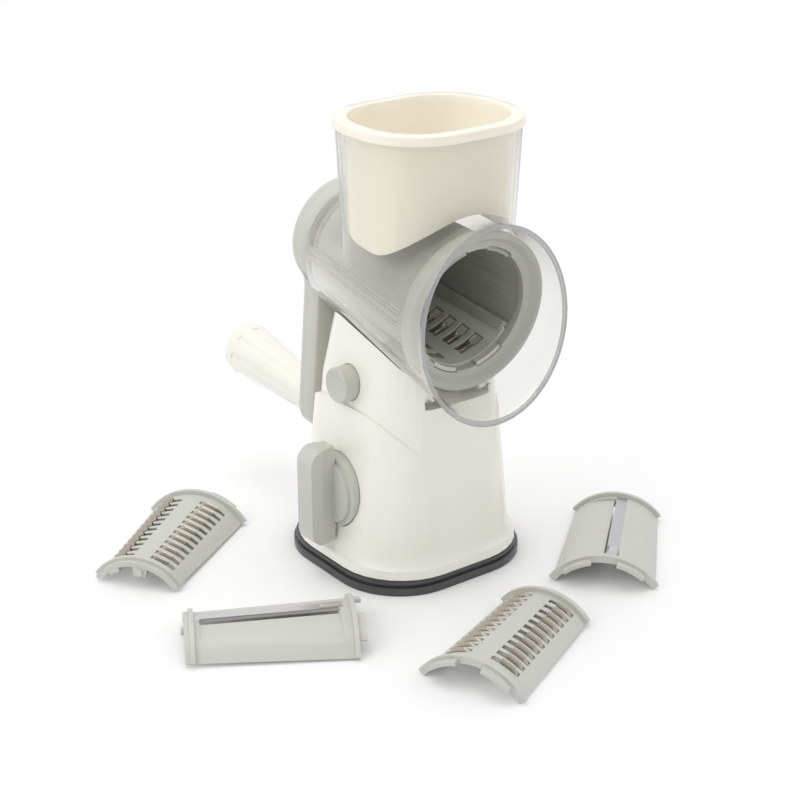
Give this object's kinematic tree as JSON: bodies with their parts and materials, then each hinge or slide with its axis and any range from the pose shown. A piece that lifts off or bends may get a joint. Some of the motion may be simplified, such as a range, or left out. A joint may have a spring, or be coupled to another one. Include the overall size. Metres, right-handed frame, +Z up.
{
  "type": "rotary cabbage shredder",
  "caption": "Hand-cranked rotary shredder: moulded body on a suction foot, clear hopper and barrel, conical drum with clip-in cutting inserts, pusher, and spare inserts.",
  "frame": {"origin": "middle of the suction cup's underside, on the table", "axes": "+Z up, -Y towards the mouth of the drum, -X towards the suction lever and release button"},
  "size_m": [0.3288, 0.3502, 0.2698],
  "materials": {
    "ivory_plastic": "smooth moulded, semi-gloss",
    "grey_plastic": "fine moulded satin",
    "clear_plastic": "clear, polished",
    "black_rubber": "matt",
    "steel": "bright rolled"
  },
  "bodies": {
    "base": {"body_shell": "ivory_plastic", "base_plate": "grey_plastic", "foot_ring": "black_rubber", "suction_cup": "black_rubber", "base_screws": "steel", "button_spring": "steel"},
    "lever": {"suction_lever": "grey_plastic", "lever_clip": "steel"},
    "rod": {"pull_rod": "grey_plastic"},
    "button": {"release_button": "grey_plastic"},
    "housing": {"housing": "clear_plastic", "rear_bush": "grey_plastic"},
    "pusher": {"pusher": "ivory_plastic"},
    "drum": {"drum_cage": "grey_plastic", "drum_ring": "grey_plastic", "drum_insert_frame": "grey_plastic", "drum_insert_blade": "steel"},
    "crank": {"crank_front_shell": "grey_plastic", "crank_back_shell": "grey_plastic", "drive_shaft": "grey_plastic", "crank_screws": "steel", "grip_axle": "steel"},
    "grip": {"grip": "ivory_plastic", "grip_cap": "ivory_plastic"},
    "fine_insert": {"fine_frame": "grey_plastic", "fine_blade": "steel"},
    "thick_insert": {"thick_frame": "grey_plastic", "thick_blade": "steel"},
    "coarse_insert": {"coarse_frame": "grey_plastic", "coarse_blade": "steel"},
    "thin_insert": {"thin_frame": "grey_plastic", "thin_blade": "steel"}
  },
  "joints": [
    {"name": "housing_slide", "type": "slide", "parent": "base", "child": "housing", "axis": [0, -0.9938, -0.1115], "range_m": [0, 0.09]},
    {"name": "pusher_lift", "type": "slide", "parent": "housing", "child": "pusher", "axis": [0, 0, 1], "range_m": [0, 0.09]},
    {"name": "crank_turn", "type": "hinge", "parent": "base", "child": "crank", "pos_m": [0, 0, 0.1748], "axis": [0, -0.9938, -0.1115], "continuous": true},
    {"name": "drum_turn", "type": "hinge", "parent": "housing", "child": "drum", "pos_m": [0, 0, 0.1748], "axis": [0, -0.9938, -0.1115], "continuous": true},
    {"name": "grip_spin", "type": "hinge", "parent": "crank", "child": "grip", "pos_m": [-0.01015, 0.01243, 0.06396], "axis": [0, -0.9938, -0.1115], "continuous": true},
    {"name": "button_press", "type": "slide", "parent": "base", "child": "button", "axis": [1, 0, 0], "range_m": [0, 0.004], "stiffness_N_per_m": 400, "springref_m": -0.003, "deforming": ["button_spring"]},
    {"name": "lever_turn", "type": "hinge", "parent": "base", "child": "lever", "pos_m": [-0.05, 0, 0.051], "axis": [1, 0, 0], "range_deg": [0, 90]},
    {"name": "cup_pull", "type": "slide", "parent": "base", "child": "rod", "axis": [0, 0, 1], "range_m": [0, 0.003]},
    {"name": "fine_insert_lift", "type": "slide", "parent": "base", "child": "fine_insert", "axis": [0, 0, 1], "range_m": [0, 0.04]},
    {"name": "thick_insert_lift", "type": "slide", "parent": "base", "child": "thick_insert", "axis": [0, 0, 1], "range_m": [0, 0.04]},
    {"name": "coarse_insert_lift", "type": "slide", "parent": "base", "child": "coarse_insert", "axis": [0, 0, 1], "range_m": [0, 0.04]},
    {"name": "thin_insert_lift", "type": "slide", "parent": "base", "child": "thin_insert", "axis": [0, 0, 1], "range_m": [0, 0.04]}
  ],
  "couplings": [
    {"joint": "drum_turn", "follows": "crank_turn", "ratio": 1},
    {"joint": "cup_pull", "follows": "lever_turn", "m_per_rad": 0.0019099}
  ]
}
